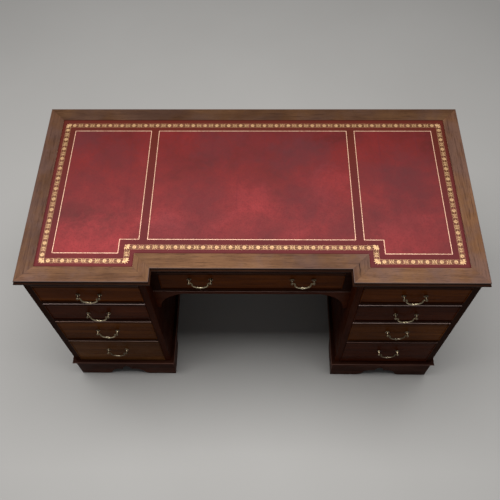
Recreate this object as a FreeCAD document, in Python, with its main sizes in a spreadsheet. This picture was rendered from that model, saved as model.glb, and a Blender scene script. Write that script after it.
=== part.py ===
import FreeCAD, Part
import math
import os
import re
import Sketcher

# Mahogany pedestal desk with a recessed centre, a leather-lined top, nine drawers and brass bail handles.
# Millimetres, +Z up. The origin is on the floor under the middle of the top, and the drawers face -Y.

SIZES = {
    # Plan of the carcass
    "kneehole_width": 600,
    "pedestal_width": 350,
    "carcass_depth": 616,
    "recess_depth": 44,
    # Top
    "top_thick": 22,
    "top_overhang": 15,
    "step_overhang": 18,
    "border_width": 51,
    "leather_thick": 1.2,
    "edge_setback": 3,
    "edge_arris": 2,
    "edge_square": 6.5,
    "quirk_depth": 2,
    "quirk_height": 1.5,
    # Heights of the drawer openings, from the top row down
    "row_1_height": 104,
    "row_2_height": 116,
    "row_3_height": 149,
    "row_4_height": 186,
    # Carcass boards
    "side_thick": 20,
    "back_thick": 12,
    "bottom_thick": 14,
    "rail_thick": 14,
    "rail_depth": 60,
    "top_rail_height": 26,
    "top_rail_thick": 24,
    "runner_width": 26,
    "kicker_thick": 10,
    # Frieze over the kneehole
    "stile_width": 27,
    "frieze_runner_width": 46,
    "frieze_back_thick": 18,
    "guide_height": 16,
    "apron_thick": 18,
    "apron_proud": 2,
    "apron_depth": 15,
    "bracket_drop": 113,
    "bracket_reach": 80,
    "bracket_toe": 11,
    # Plinth with bracket feet
    "plinth_height": 116,
    "plinth_thick": 20,
    "plinth_projection": 4.5,
    "moulding_projection": 12.5,
    "moulding_round": 6,
    "moulding_cove": 7,
    "foot_width": 92,
    "ogee_run": 56,
    "arch_height": 46,
    "notch_half_width": 16,
    "notch_height": 30,
    "foot_block": 36,
    "foot_block_lift": 2,
    # Blocks
    "top_block_length": 60,
    "top_block_width": 26,
    "top_block_height": 16,
    "top_block_spread": 360,
    "stop_width": 30,
    "stop_depth": 22,
    "stop_height": 4,
    "stop_spread": 130,
    # Drawers
    "drawer_gap": 1,
    "drawer_back_gap": 8,
    "front_thick": 20,
    "front_lap": 12,
    "bead_thick": 3,
    "bead_depth": 6,
    "bead_proud": 2.5,
    "drawer_side": 9,
    "side_drop": 5,
    "tail_pin": 8,
    "tail_slope": 0.16,
    "drawer_bottom": 6,
    "bottom_rise": 8,
    "groove_depth": 4,
    "panel_clearance": 0.2,
    "drawer_back_drop": 3,
    # Handles
    "handle_pitch": 64,
    "row_1_handle": 48,
    "row_2_handle": 49,
    "row_3_handle": 75,
    "row_4_handle": 106,
    "centre_handle": 63,
    "centre_handle_offset": 151,
    "handle_stand": 13.5,
    "rose_radius": 6.5,
    "rose_thick": 2.5,
    "rose_edge": 1.2,
    "collar_radius": 4.2,
    "collar_thick": 1.5,
    "neck_radius": 2.8,
    "ball_radius": 4.3,
    "shank_radius": 2.4,
    "shank_clearance": 0.1,
    "shank_tail": 2,
    "nut_thick": 3,
    "nut_radius": 5,
    "pin_radius": 1.5,
    "pin_clearance": 0.05,
    "pin_end_gap": 0.4,
    "shoulder_gap": 0.5,
    "bail_radius": 2.1,
    "bail_drop": 28,
    "bail_neck_bend": 4,
    "bail_leg": 7,
    "bail_corner": 10,
    "bead_half_length": 5,
    "bead_ring_edge": 2,
    "bead_ring_half": 2,
    "bead_ring_base": 2.8,
    "bead_ring_round": 2.4,
}

# Levels and faces that several pieces share, as formulas of the sizes above
FRONT = "(-carcass_depth / 2)"
BACK = "(carcass_depth / 2)"
CENTRE_FRONT = "(-carcass_depth / 2 + recess_depth)"
KNEE = "(kneehole_width / 2)"
OUTSIDE = "(kneehole_width / 2 + pedestal_width)"
PEDESTAL_MIDDLE = "((kneehole_width + pedestal_width) / 2)"
OPENING = "(pedestal_width - 2 * side_thick)"
CENTRE_OPENING = "(kneehole_width - 2 * stile_width)"
TOP_HALF = "(kneehole_width / 2 + pedestal_width + top_overhang)"
TOP_FRONT = "(-carcass_depth / 2 - top_overhang)"
TOP_BACK = "(carcass_depth / 2 + top_overhang)"
TOP_DEPTH = "(carcass_depth + 2 * top_overhang)"
RECESS_HALF = "(kneehole_width / 2 - step_overhang)"
RECESS_FRONT = "(-carcass_depth / 2 - top_overhang + recess_depth)"

FLOOR_4 = "(plinth_height + bottom_thick)"
FLOOR_3 = f"({FLOOR_4} + row_4_height + rail_thick)"
FLOOR_2 = f"({FLOOR_3} + row_3_height + rail_thick)"
FLOOR_1 = f"({FLOOR_2} + row_2_height + rail_thick)"
CEILING = f"({FLOOR_1} + row_1_height)"
UNDER_TOP = f"({CEILING} + top_rail_height)"

# Each row of drawers: its number from the top, its floor, its height, the height of its handles
# over its floor, and the tails in each corner joint
ROWS = [
    (1, FLOOR_1, "row_1_height", "row_1_handle", 3),
    (2, FLOOR_2, "row_2_height", "row_2_handle", 3),
    (3, FLOOR_3, "row_3_height", "row_3_handle", 4),
    (4, FLOOR_4, "row_4_height", "row_4_handle", 5),
]
HANDS = {"left": -1, "right": 1}

doc = FreeCAD.newDocument("pedestal_desk")
sheet = doc.addObject("Spreadsheet::Sheet", "Dims")
for row, (alias, size) in enumerate(SIZES.items(), start=1):
    sheet.set(f"A{row}", alias)
    sheet.set(f"B{row}", str(size))
    sheet.setAlias(f"B{row}", alias)
doc.recompute()

nodes = {}


def formula(text):
    """Point each size that the text names at its cell."""
    return re.sub(r"[a-z_][a-z_0-9]*", lambda word: cell_of(word.group()), text)


def cell_of(word):
    return f"Dims.{word}" if word in SIZES else word


def value(text):
    return float(sheet.evalExpression(formula(text)))


def bind(thing, prop, text):
    thing.setExpression(prop, formula(text))


def place(thing, x, y, z, turn=0):
    """Put a piece at a place that follows the sizes, turned about the vertical."""
    thing.Placement = FreeCAD.Placement(FreeCAD.Vector(), FreeCAD.Rotation(FreeCAD.Vector(0, 0, 1), turn))
    for axis, text in zip("xyz", (x, y, z)):
        bind(thing, f"Placement.Base.{axis}", text)


def node(label, *pieces):
    """Name a sub-part: one piece, or several that stay separate solids."""
    thing = pieces[0]
    if len(pieces) > 1:
        thing = doc.addObject("Part::Compound", label)
        thing.Links = list(pieces)
    thing.Label = label
    nodes[label] = thing


def board(name, corner, size):
    """A plain board from its lowest corner and its size along X, Y and Z."""
    box = doc.addObject("Part::Box", name)
    for prop, text in zip(("Length", "Width", "Height"), size):
        bind(box, prop, text)
    place(box, *corner)
    return box


def handed(hand, low, width):
    """The low X of a piece that starts at low on the right-hand side, or of its mirror image on the left."""
    return low if hand > 0 else f"-({low}) - ({width})"


# Sketches and features

def body(name):
    return doc.addObject("PartDesign::Body", name)


def origin_of(part, role):
    return next(feature for feature in part.Origin.OriginFeatures if feature.Role == role)


def arc_between(start, end, radius, turn):
    """The arc under a half circle from start to end that turns ccw or cw, as a sketch stores it."""
    chord = end - start
    middle = (start + end) / 2
    rise = math.sqrt(max(radius ** 2 - (chord.Length / 2) ** 2, 0))
    left = FreeCAD.Vector(-chord.y, chord.x, 0).normalize()
    centre = middle + left * (rise if turn == "ccw" else -rise)
    first, last = (start, end) if turn == "ccw" else (end, start)
    angles = [math.atan2(point.y - centre.y, point.x - centre.x) for point in (first, last)]
    return Part.ArcOfCircle(Part.Circle(centre, FreeCAD.Vector(0, 0, 1), radius), *angles)


def draw(sketch, outline, closed=True):
    """Draw corners (x, y), each followed by a line or, as (x, y, radius, turn), by an arc to the next."""
    first = sketch.GeometryCount
    corners = [FreeCAD.Vector(value(corner[0]), value(corner[1]), 0) for corner in outline]
    count = len(outline) if closed else len(outline) - 1
    starts = []
    for index in range(count):
        start = corners[index]
        end = corners[(index + 1) % len(corners)]
        arc = outline[index][2:]
        if arc:
            sketch.addGeometry(arc_between(start, end, value(arc[0]), arc[1]), False)
            radius = sketch.addConstraint(Sketcher.Constraint("Radius", first + index, value(arc[0])))
            bind(sketch, f"Constraints[{radius}]", arc[0])
        else:
            sketch.addGeometry(Part.LineSegment(start, end), False)
        starts.append(2 if arc and arc[1] == "cw" else 1)
    for index in range(count):
        after = (index + 1) % len(outline)
        finish = 3 - starts[index]
        if after < count:
            joint = Sketcher.Constraint("Coincident", first + index, finish, first + after, starts[after])
            sketch.addConstraint(joint)
        else:
            pin(sketch, first + index, finish, outline[after])
        pin(sketch, first + index, starts[index], outline[index])


def pin(sketch, line, end, corner):
    """Hold one end of a line at its corner's formulas."""
    for kind, text in zip(("DistanceX", "DistanceY"), corner):
        held = sketch.addConstraint(Sketcher.Constraint(kind, -1, 1, line, end, value(text)))
        bind(sketch, f"Constraints[{held}]", text)


def circle(sketch, x, y, radius):
    index = sketch.addGeometry(
        Part.Circle(FreeCAD.Vector(value(x), value(y), 0), FreeCAD.Vector(0, 0, 1), value(radius)), False)
    held = sketch.addConstraint(Sketcher.Constraint("Radius", index, value(radius)))
    bind(sketch, f"Constraints[{held}]", radius)
    pin(sketch, index, 3, (x, y))


def sketch_on(part, plane, *outlines, lift="0", rise="0", closed=True):
    """A sketch on one of the piece's own planes, moved along its normal by lift and up itself by rise."""
    sketch = part.newObject("Sketcher::SketchObject", f"{part.Name}_sketch")
    sketch.AttachmentSupport = [(origin_of(part, plane), "")]
    sketch.MapMode = "FlatFace"
    bind(sketch, "AttachmentOffset.Base.z", lift)
    bind(sketch, "AttachmentOffset.Base.y", rise)
    for outline in outlines:
        draw(sketch, outline, closed)
    return sketch


def pad(part, sketch, length, behind=None, backwards=False):
    """Extrude along the sketch's normal, and behind it too where a second length is given."""
    feature = part.newObject("PartDesign::Pad", f"{part.Name}_pad")
    feature.Profile = sketch
    feature.Reversed = backwards
    bind(feature, "Length", length)
    if behind:
        feature.SideType = "Two sides"
        bind(feature, "Length2", behind)
    return feature


def pocket(part, sketch, length=None, side="Symmetric", backwards=False):
    """Cut through everything, or to a length, and stop if the cut takes nothing away."""
    doc.recompute()
    before = part.Shape.Volume
    feature = part.newObject("PartDesign::Pocket", f"{part.Name}_pocket")
    feature.Profile = sketch
    feature.SideType = side
    feature.Reversed = backwards
    if length:
        bind(feature, "Length", length)
    else:
        feature.Type = "ThroughAll"
    doc.recompute()
    if part.Shape.Volume >= before:
        raise RuntimeError(f"{feature.Label} cuts nothing")
    return feature


def revolve(part, sketch, axis):
    feature = part.newObject("PartDesign::Revolution", f"{part.Name}_turned")
    feature.Profile = sketch
    feature.ReferenceAxis = axis
    feature.Angle = 360
    return feature


def mirror(part, feature):
    """Repeat a feature on the other side of the piece's own YZ plane."""
    twin = part.newObject("PartDesign::Mirrored", f"{part.Name}_mirrored")
    twin.Originals = [feature]
    twin.MirrorPlane = (origin_of(part, "YZ_Plane"), [""])
    part.Tip = twin
    return twin


def rectangle(low_x, low_y, high_x, high_y):
    return [(low_x, low_y), (high_x, low_y), (high_x, high_y), (low_x, high_y)]


def mitred_run(name, section, length, width, ends):
    """A strip run along X with its outer face on Y = 0, its ends cut for the corners that they meet.

    An end of 1 is mitred for an outside corner, -1 for an inside corner, and 0 is left square.
    """
    part = body(name)
    behind, ahead = [f"{length} / 2 + {width}" if end < 0 else f"{length} / 2" for end in ends]
    pad(part, sketch_on(part, "YZ_Plane", section), ahead, behind)
    for way, end in zip((-1, 1), ends):
        if end:
            far_corner = (f"{way} * ({length} / 2 + {width})", f"2 * {width}")
            if end < 0:
                far_corner = (f"{way} * ({length} / 2 + 2 * {width})", f"-{width}")
            waste = [
                (f"{way} * ({length} / 2 + {end} * {width})", f"-{width}"),
                (f"{way} * ({length} / 2 - 2 * {end} * {width})", f"2 * {width}"),
                far_corner,
            ]
            pocket(part, sketch_on(part, "XY_Plane", waste))
    return part


# Top: moulded and mitred border boards round a ground that carries the leather

def top_section():
    """Upper edge with a rounded arris, a quirk, and below it a half round that stands further out."""
    half_round = "((top_thick - edge_square - quirk_height) / 2)"
    quirk = "(edge_setback + quirk_depth)"
    return [
        ("border_width", "0"),
        ("border_width", "top_thick"),
        ("edge_setback + edge_arris", "top_thick", "edge_arris", "ccw"),
        ("edge_setback", "top_thick - edge_arris"),
        ("edge_setback", "top_thick - edge_square"),
        (quirk, "top_thick - edge_square"),
        (quirk, f"{half_round} + sqrt({half_round} ^ 2 - ({half_round} - {quirk}) ^ 2)", half_round, "ccw"),
        ("0", half_round, half_round, "ccw"),
        (half_round, "0"),
    ]


def border(name, length, ends, x, y, turn):
    strip = mitred_run(name, top_section(), length, "border_width", ends)
    place(strip, x, y, UNDER_TOP, turn)
    return strip


def build_top():
    wing = f"({TOP_HALF} - {RECESS_HALF})"
    wing_middle = f"(({TOP_HALF} + {RECESS_HALF}) / 2)"
    return_middle = f"({TOP_FRONT} + recess_depth / 2)"
    node("top_back_border", border("back_border", f"(2 * {TOP_HALF})", (1, 1), "0", TOP_BACK, 180))
    node("top_left_border", border("left_border", TOP_DEPTH, (1, 1), f"-{TOP_HALF}", "0", -90))
    node("top_right_border", border("right_border", TOP_DEPTH, (1, 1), TOP_HALF, "0", 90))
    node(
        "top_front_border",
        border("left_wing_border", wing, (1, 1), f"-{wing_middle}", TOP_FRONT, 0),
        border("left_return_border", "recess_depth", (1, -1), f"-{RECESS_HALF}", return_middle, 90),
        border("centre_border", f"(2 * {RECESS_HALF})", (-1, -1), "0", RECESS_FRONT, 0),
        border("right_return_border", "recess_depth", (-1, 1), RECESS_HALF, return_middle, -90),
        border("right_wing_border", wing, (1, 1), wing_middle, TOP_FRONT, 0),
    )
    panel("top_ground", "top_thick - leather_thick", UNDER_TOP)
    panel("writing_leather", "leather_thick", f"{UNDER_TOP} + top_thick - leather_thick")


def panel(label, thick, level):
    """A sheet that fills the border, stepped back over the kneehole."""
    side = f"({TOP_HALF} - border_width)"
    step = f"({RECESS_HALF} + border_width)"
    front = f"({TOP_FRONT} + border_width)"
    step_front = f"({RECESS_FRONT} + border_width)"
    back = f"({TOP_BACK} - border_width)"
    outline = [
        (f"-{side}", back), (f"-{side}", front), (f"-{step}", front), (f"-{step}", step_front),
        (step, step_front), (step, front), (side, front), (side, back),
    ]
    part = body(label)
    pad(part, sketch_on(part, "XY_Plane", outline), thick)
    place(part, "0", "0", level)
    node(label, part)


# Pedestals

def build_pedestal(side):
    hand = HANDS[side]
    inside = handed(hand, f"({KNEE} + side_thick)", OPENING)
    board_height = f"({UNDER_TOP} - plinth_height)"
    for place_name, low in (("inner", KNEE), ("outer", f"({OUTSIDE} - side_thick)")):
        corner = (handed(hand, low, "side_thick"), FRONT, "plinth_height")
        label = f"{side}_{place_name}_side"
        node(label, board(label, corner, ("side_thick", "carcass_depth", board_height)))
    label = f"{side}_back_panel"
    corner = (inside, f"{BACK} - back_thick", "plinth_height")
    node(label, board(label, corner, (OPENING, "back_thick", board_height)))
    top_rail = (OPENING, "top_rail_thick", "top_rail_height")
    rails = [board(f"{side}_top_rail", (inside, FRONT, CEILING), top_rail)]
    for number, floor, *_ in ROWS[:-1]:
        corner = (inside, FRONT, f"{floor} - rail_thick")
        rails.append(board(f"{side}_rail_{number}", corner, (OPENING, "rail_depth", "rail_thick")))
    node(f"{side}_drawer_rails", *rails)


def pedestal_bottom(side):
    inside = handed(HANDS[side], f"({KNEE} + side_thick)", OPENING)
    size = (OPENING, "carcass_depth - back_thick", "bottom_thick")
    return board(f"{side}_bottom", (inside, FRONT, "plinth_height"), size)


def pedestal_runners(side):
    """Runners behind the rails on both sides of each opening, and kickers over the top drawer."""
    hand = HANDS[side]
    strips = []
    for wall, low in (("inner", f"({KNEE} + side_thick)"),
                      ("outer", f"({OUTSIDE} - side_thick - runner_width)")):
        x = handed(hand, low, "runner_width")
        for number, floor, *_ in ROWS[:-1]:
            corner = (x, f"{FRONT} + rail_depth", f"{floor} - rail_thick")
            size = ("runner_width", "carcass_depth - rail_depth - back_thick", "rail_thick")
            strips.append(board(f"{side}_{wall}_runner_{number}", corner, size))
        corner = (x, f"{FRONT} + top_rail_thick", CEILING)
        size = ("runner_width", "carcass_depth - top_rail_thick - back_thick", "kicker_thick")
        strips.append(board(f"{side}_{wall}_kicker", corner, size))
    return strips


def arch_outline(length, notched):
    """Ogee-ended arch between two bracket feet, open to the floor, with a pointed notch at the crown."""
    half = f"({length} / 2 - foot_width)"
    shelf = f"({half} - ogee_run)"
    bend = f"({half} - ogee_run / 2)"
    ogee = "((ogee_run / 2) ^ 2 + (arch_height / 2) ^ 2) / arch_height"
    lancet = "(notch_half_width ^ 2 + notch_height ^ 2) / (2 * notch_half_width)"
    notch = [
        ("-notch_half_width", "arch_height", lancet, "cw"),
        ("0", "arch_height + notch_height", lancet, "cw"),
        ("notch_half_width", "arch_height"),
    ]
    return [
        (f"-{half}", "0", ogee, "ccw"),
        (f"-{bend}", "arch_height / 2", ogee, "cw"),
        (f"-{shelf}", "arch_height"),
        *(notch if notched else []),
        (shelf, "arch_height", ogee, "cw"),
        (bend, "arch_height / 2", ogee, "ccw"),
        (half, "0"),
        (half, "-arch_height"),
        (f"-{half}", "-arch_height"),
    ]


def plinth_board(name, length, ends, notched):
    section = rectangle("0", "0", "plinth_thick", "plinth_height")
    part = mitred_run(name, section, length, "plinth_thick", ends)
    pocket(part, sketch_on(part, "XZ_Plane", arch_outline(length, notched)))
    return part


def moulding(name, length, ends):
    """Rounded over at the top and coved below, where it meets the plinth."""
    section = [
        ("moulding_projection", "0"),
        ("moulding_projection", "bottom_thick"),
        ("moulding_round", "bottom_thick", "moulding_round", "ccw"),
        ("0", "bottom_thick - moulding_round"),
        ("0", "moulding_cove", "moulding_cove", "cw"),
        ("moulding_cove", "0"),
    ]
    return mitred_run(name, section, length, "moulding_projection", ends)


def plinth_set(side, make, name, projection, level, *options):
    """The front and the two flanks of one plinth, mitred at the front corners."""
    hand = HANDS[side]
    front = make(f"{side}_{name}_front", f"(pedestal_width + 2 * {projection})", (1, 1), *options[:1])
    place(front, f"{hand} * {PEDESTAL_MIDDLE}", f"{FRONT} - {projection}", level)
    pieces = [front]
    flank = f"(carcass_depth + {projection})"
    for wall, x, ends, turn in (
        ("left", f"{hand} * {PEDESTAL_MIDDLE} - pedestal_width / 2 - {projection}", (0, 1), -90),
        ("right", f"{hand} * {PEDESTAL_MIDDLE} + pedestal_width / 2 + {projection}", (1, 0), 90),
    ):
        strip = make(f"{side}_{name}_{wall}", flank, ends, *options[1:])
        place(strip, x, f"-{projection} / 2", level, turn)
        pieces.append(strip)
    return pieces


def build_plinth(side):
    hand = HANDS[side]
    pieces = plinth_set(side, plinth_board, "plinth", "plinth_projection", "0", True, False)
    pieces += plinth_set(side, moulding, "moulding", "moulding_projection", "plinth_height")
    low = f"({KNEE} - plinth_projection + plinth_thick)"
    room = "(pedestal_width + 2 * plinth_projection - 2 * plinth_thick)"
    corner = (handed(hand, low, room), f"{BACK} - plinth_thick", "arch_height")
    pieces.append(board(f"{side}_plinth_back", corner, (room, "plinth_thick", "plinth_height - arch_height")))
    block = ("foot_block", "foot_block", "plinth_height - foot_block_lift")
    for end, y in (("front", f"{FRONT} - plinth_projection + plinth_thick"),
                   ("back", f"{BACK} - plinth_thick - foot_block")):
        for wall, x in (("inner", low), ("outer", f"({low} + {room} - foot_block)")):
            corner = (handed(hand, x, "foot_block"), y, "foot_block_lift")
            pieces.append(board(f"{side}_{wall}_{end}_foot_block", corner, block))
    node(f"{side}_plinth", *pieces)


# Frieze over the kneehole

def build_frieze():
    wide = "kneehole_width"
    pieces = [
        board("frieze_upper_rail", (f"-{KNEE}", CENTRE_FRONT, CEILING),
              (wide, "top_rail_thick", "top_rail_height")),
        board("frieze_lower_rail", (f"-{KNEE}", CENTRE_FRONT, f"{FLOOR_1} - rail_thick"),
              (wide, "rail_depth", "rail_thick")),
    ]
    for side, hand in HANDS.items():
        x = handed(hand, f"({KNEE} - stile_width)", "stile_width")
        size = ("stile_width", "top_rail_thick", "row_1_height")
        pieces.append(board(f"frieze_{side}_stile", (x, CENTRE_FRONT, FLOOR_1), size))
    node("frieze_frame", *pieces)
    corner = (f"-{KNEE}", f"{BACK} - frieze_back_thick", f"{FLOOR_1} - rail_thick")
    height = "rail_thick + row_1_height + top_rail_height"
    node("frieze_back", board("frieze_back", corner, (wide, "frieze_back_thick", height)))
    build_apron()


def build_apron():
    """Shallow apron under the frieze whose ends sweep down the pedestals as brackets."""
    toe = f"({KNEE} - bracket_toe)"
    spring = f"({toe} - bracket_reach)"
    sweep = "(bracket_reach ^ 2 + (bracket_drop - apron_depth) ^ 2) / (2 * bracket_reach)"
    outline = [
        (f"-{KNEE}", "0"),
        (f"-{KNEE}", "-bracket_drop"),
        (f"-{toe}", "-bracket_drop", sweep, "cw"),
        (f"-{spring}", "-apron_depth"),
        (spring, "-apron_depth", sweep, "cw"),
        (toe, "-bracket_drop"),
        (KNEE, "-bracket_drop"),
        (KNEE, "0"),
    ]
    part = body("kneehole_apron")
    pad(part, sketch_on(part, "XZ_Plane", outline), "apron_thick", backwards=True)
    place(part, "0", f"{CENTRE_FRONT} - apron_proud", f"{FLOOR_1} - rail_thick")
    node("kneehole_apron", part)


def frieze_runners():
    """Runners, guides and kickers that carry the centre drawer."""
    strips = []
    for side, hand in HANDS.items():
        runner_x = handed(hand, f"({KNEE} - frieze_runner_width)", "frieze_runner_width")
        guide_x = handed(hand, f"({KNEE} - stile_width)", "stile_width")
        behind_rail = f"({CENTRE_FRONT} + rail_depth)"
        behind_stile = f"({CENTRE_FRONT} + top_rail_thick)"
        end = f"({BACK} - frieze_back_thick)"
        strips += [
            board(f"frieze_{side}_runner", (runner_x, behind_rail, f"{FLOOR_1} - rail_thick"),
                  ("frieze_runner_width", f"{end} - {behind_rail}", "rail_thick")),
            board(f"frieze_{side}_guide", (guide_x, behind_stile, FLOOR_1),
                  ("stile_width", f"{end} - {behind_stile}", "guide_height")),
            board(f"frieze_{side}_kicker", (runner_x, behind_stile, CEILING),
                  ("frieze_runner_width", f"{end} - {behind_stile}", "kicker_thick")),
        ]
    return strips


# Glue blocks that hold the top down, and stops that the drawer fronts close against

def build_top_blocks():
    blocks = []
    for side, hand in HANDS.items():
        for wall, low in (("inner", f"({KNEE} + side_thick)"),
                          ("outer", f"({OUTSIDE} - side_thick - top_block_width)")):
            for end, way in (("front", -1), ("back", 1)):
                corner = (
                    handed(hand, low, "top_block_width"),
                    f"{way} * top_block_spread / 2 - top_block_length / 2",
                    f"{UNDER_TOP} - top_block_height",
                )
                size = ("top_block_width", "top_block_length", "top_block_height")
                blocks.append(board(f"{side}_{wall}_{end}_top_block", corner, size))
    node("top_fixing_blocks", *blocks)


def drawer_stops(name, x, face, floor):
    """Two thin blocks that the back of a drawer front meets when it is shut."""
    stops = []
    for way in (-1, 1):
        corner = (f"{x} + {way} * stop_spread / 2 - stop_width / 2", f"{face} + front_thick", floor)
        stops.append(board(f"{name}_stop", corner, ("stop_width", "stop_depth", "stop_height")))
    return stops


# Drawers

def tail_levels(high, tails):
    """The middle height and the width at the tip of each dovetail on a drawer side."""
    pitch = f"(({high} - side_drop) / {tails})"
    return [(f"({pitch} * {index + 0.5})", f"({pitch} - tail_pin)") for index in range(tails)]


def tail_corners(middle, tip):
    """One dovetail, from its upper shoulder round its tip to its lower shoulder, in depth and height."""
    root = f"({tip} - 2 * front_lap * tail_slope)"
    tip_line = "(front_thick - front_lap)"
    return [
        ("front_thick", f"{middle} + {root} / 2"),
        (tip_line, f"{middle} + {tip} / 2"),
        (tip_line, f"{middle} - {tip} / 2"),
        ("front_thick", f"{middle} - {root} / 2"),
    ]


def drawer_front(name, wide, high, tails, posts):
    """Front board, rebated all round for its bead and socketed at the back for the dovetailed sides."""
    edge = f"({wide} / 2 - drawer_gap)"
    top = f"({high} - drawer_gap)"
    inner = f"({edge} - drawer_side)"
    part = body(f"{name}_front_board")
    back_part = rectangle(f"-{edge}", "drawer_gap", edge, top)
    back_sketch = sketch_on(part, "XZ_Plane", back_part, lift="-bead_depth")
    pad(part, back_sketch, "front_thick - bead_depth", backwards=True)
    face_part = rectangle(
        f"-({edge} - bead_thick)", "drawer_gap + bead_thick", f"({edge} - bead_thick)", f"{top} - bead_thick")
    pad(part, sketch_on(part, "XZ_Plane", face_part), "bead_depth", backwards=True)
    sockets = [tail_corners(middle, tip) for middle, tip in tail_levels(high, tails)]
    cut = pocket(part, sketch_on(part, "YZ_Plane", *sockets, lift=inner), side="One side", backwards=True)
    mirror(part, cut)
    groove_top = "bottom_rise + drawer_bottom"
    groove = rectangle("front_thick - groove_depth", "bottom_rise", "front_thick + groove_depth", groove_top)
    pocket(part, sketch_on(part, "YZ_Plane", groove), length=f"2 * {inner}")
    holes = sketch_on(part, "XZ_Plane")
    for x, z in posts:
        circle(holes, x, z, "shank_radius + shank_clearance")
    pocket(part, holes)
    return part


def cockbead(name, wide, high):
    """Thin bead let into the rebate of a drawer front, mitred round it and proud of it by a rounded nose."""
    edge = f"({wide} / 2 - drawer_gap)"
    top = f"({high} - drawer_gap)"
    nose = "(bead_thick / 2)"
    part = body(f"{name}_cockbead")
    section = [
        ("bead_depth", "drawer_gap"),
        ("bead_depth", "drawer_gap + bead_thick"),
        (f"-bead_proud + {nose}", "drawer_gap + bead_thick", nose, "ccw"),
        ("-bead_proud", f"drawer_gap + {nose}", nose, "ccw"),
        (f"-bead_proud + {nose}", "drawer_gap"),
    ]
    path = [
        ("0", "drawer_gap"), (edge, "drawer_gap"), (edge, top), (f"-{edge}", top), (f"-{edge}", "drawer_gap"),
    ]
    ring = part.newObject("PartDesign::AdditivePipe", f"{part.Name}_ring")
    ring.Profile = sketch_on(part, "YZ_Plane", section)
    ring.Spine = (sketch_on(part, "XZ_Plane", path), [])
    ring.Transition = "Right corner"
    return part


def drawer_side(name, wall, wide, high, deep, tails):
    """Side board with dovetails at the front end and a groove for the bottom."""
    upright = f"({high} - side_drop)"
    inner = f"({wide} / 2 - drawer_gap - drawer_side)"
    outline = [(deep, "0"), (deep, upright), ("front_thick", upright)]
    for middle, tip in reversed(tail_levels(high, tails)):
        outline += tail_corners(middle, tip)
    outline.append(("front_thick", "0"))
    groove = rectangle("0", "bottom_rise", f"{deep} + front_thick", "bottom_rise + drawer_bottom")
    part = body(f"{name}_{wall}_side")
    low = inner if wall == "right" else f"-{inner} - drawer_side"
    groove_low = inner if wall == "right" else f"-{inner} - groove_depth"
    pad(part, sketch_on(part, "YZ_Plane", outline, lift=low), "drawer_side")
    pocket(part, sketch_on(part, "YZ_Plane", groove, lift=groove_low), "groove_depth", "One side", True)
    return part


def drawer_box(name, x, y, z, wide, high, deep, tails):
    """Two sides, a back and a bottom that slides into their grooves from behind."""
    inner = f"({wide} / 2 - drawer_gap - drawer_side)"
    sides = [drawer_side(name, wall, wide, high, deep, tails) for wall in HANDS]
    for side in sides:
        place(side, x, y, z)
    panel_half = f"({inner} + groove_depth - panel_clearance)"
    panel_front = "(front_thick - groove_depth + panel_clearance)"
    bottom = board(
        f"{name}_bottom",
        (f"{x} - {panel_half}", f"{y} + {panel_front}", f"{z} + bottom_rise"),
        (f"2 * {panel_half}", f"{deep} - {panel_front}", "drawer_bottom"))
    back_low = "(bottom_rise + drawer_bottom)"
    back = board(
        f"{name}_back",
        (f"{x} - {inner}", f"{y} + {deep} - drawer_side", f"{z} + {back_low}"),
        (f"2 * {inner}", "drawer_side", f"{high} - side_drop - drawer_back_drop - {back_low}"))
    return [*sides, back, bottom]


# Handles: a rose and a turned post at each end of a swinging bail

def rose(name):
    part = body(f"{name}_rose")
    hole = "shank_radius + shank_clearance"
    profile = [
        (hole, "0"),
        ("rose_radius", "0"),
        ("rose_radius", "-(rose_thick - rose_edge)", "rose_edge", "cw"),
        ("rose_radius - rose_edge", "-rose_thick"),
        (hole, "-rose_thick"),
    ]
    revolve(part, sketch_on(part, "XY_Plane", profile), (origin_of(part, "Y_Axis"), [""]))
    return part


def post(name, way):
    """Post with a collar, a tapered neck and a ball, bored on the side that faces the bail."""
    part = body(f"{name}_post")
    tail = "front_thick + nut_thick + shank_tail"
    ball_foot = "-handle_stand + sqrt(ball_radius ^ 2 - neck_radius ^ 2)"
    profile = [
        ("0", tail),
        ("shank_radius", tail),
        ("shank_radius", "-rose_thick"),
        ("collar_radius", "-rose_thick"),
        ("collar_radius", "-rose_thick - collar_thick"),
        ("neck_radius", ball_foot, "ball_radius", "cw"),
        ("0", "-handle_stand - ball_radius"),
    ]
    revolve(part, sketch_on(part, "XY_Plane", profile), (origin_of(part, "Y_Axis"), [""]))
    bore = sketch_on(part, "YZ_Plane", lift=f"-{way} * pin_radius")
    circle(bore, "-handle_stand", "0", "pin_radius + pin_clearance")
    pocket(part, bore, side="One side", backwards=way > 0)
    return part


def nut(name):
    part = body(f"{name}_nut")
    corners = [
        (f"nut_radius * {math.cos(math.radians(60 * index)):.6f}",
         f"nut_radius * {math.sin(math.radians(60 * index)):.6f}") for index in range(6)
    ]
    outline = sketch_on(part, "XZ_Plane", corners, lift="-front_thick")
    circle(outline, "0", "0", "shank_radius + shank_clearance")
    pad(part, outline, "nut_thick", backwards=True)
    return part


def handle_mount(name, x, y, z):
    """Both ends of one handle: roses, posts and the nuts inside the drawer."""
    pieces = []
    for end, way in (("left", 1), ("right", -1)):
        set_name = f"{name}_{end}"
        for piece in (rose(set_name), post(set_name, way), nut(set_name)):
            place(piece, f"{x} - {way} * handle_pitch / 2", y, z)
            pieces.append(piece)
    return pieces


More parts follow.
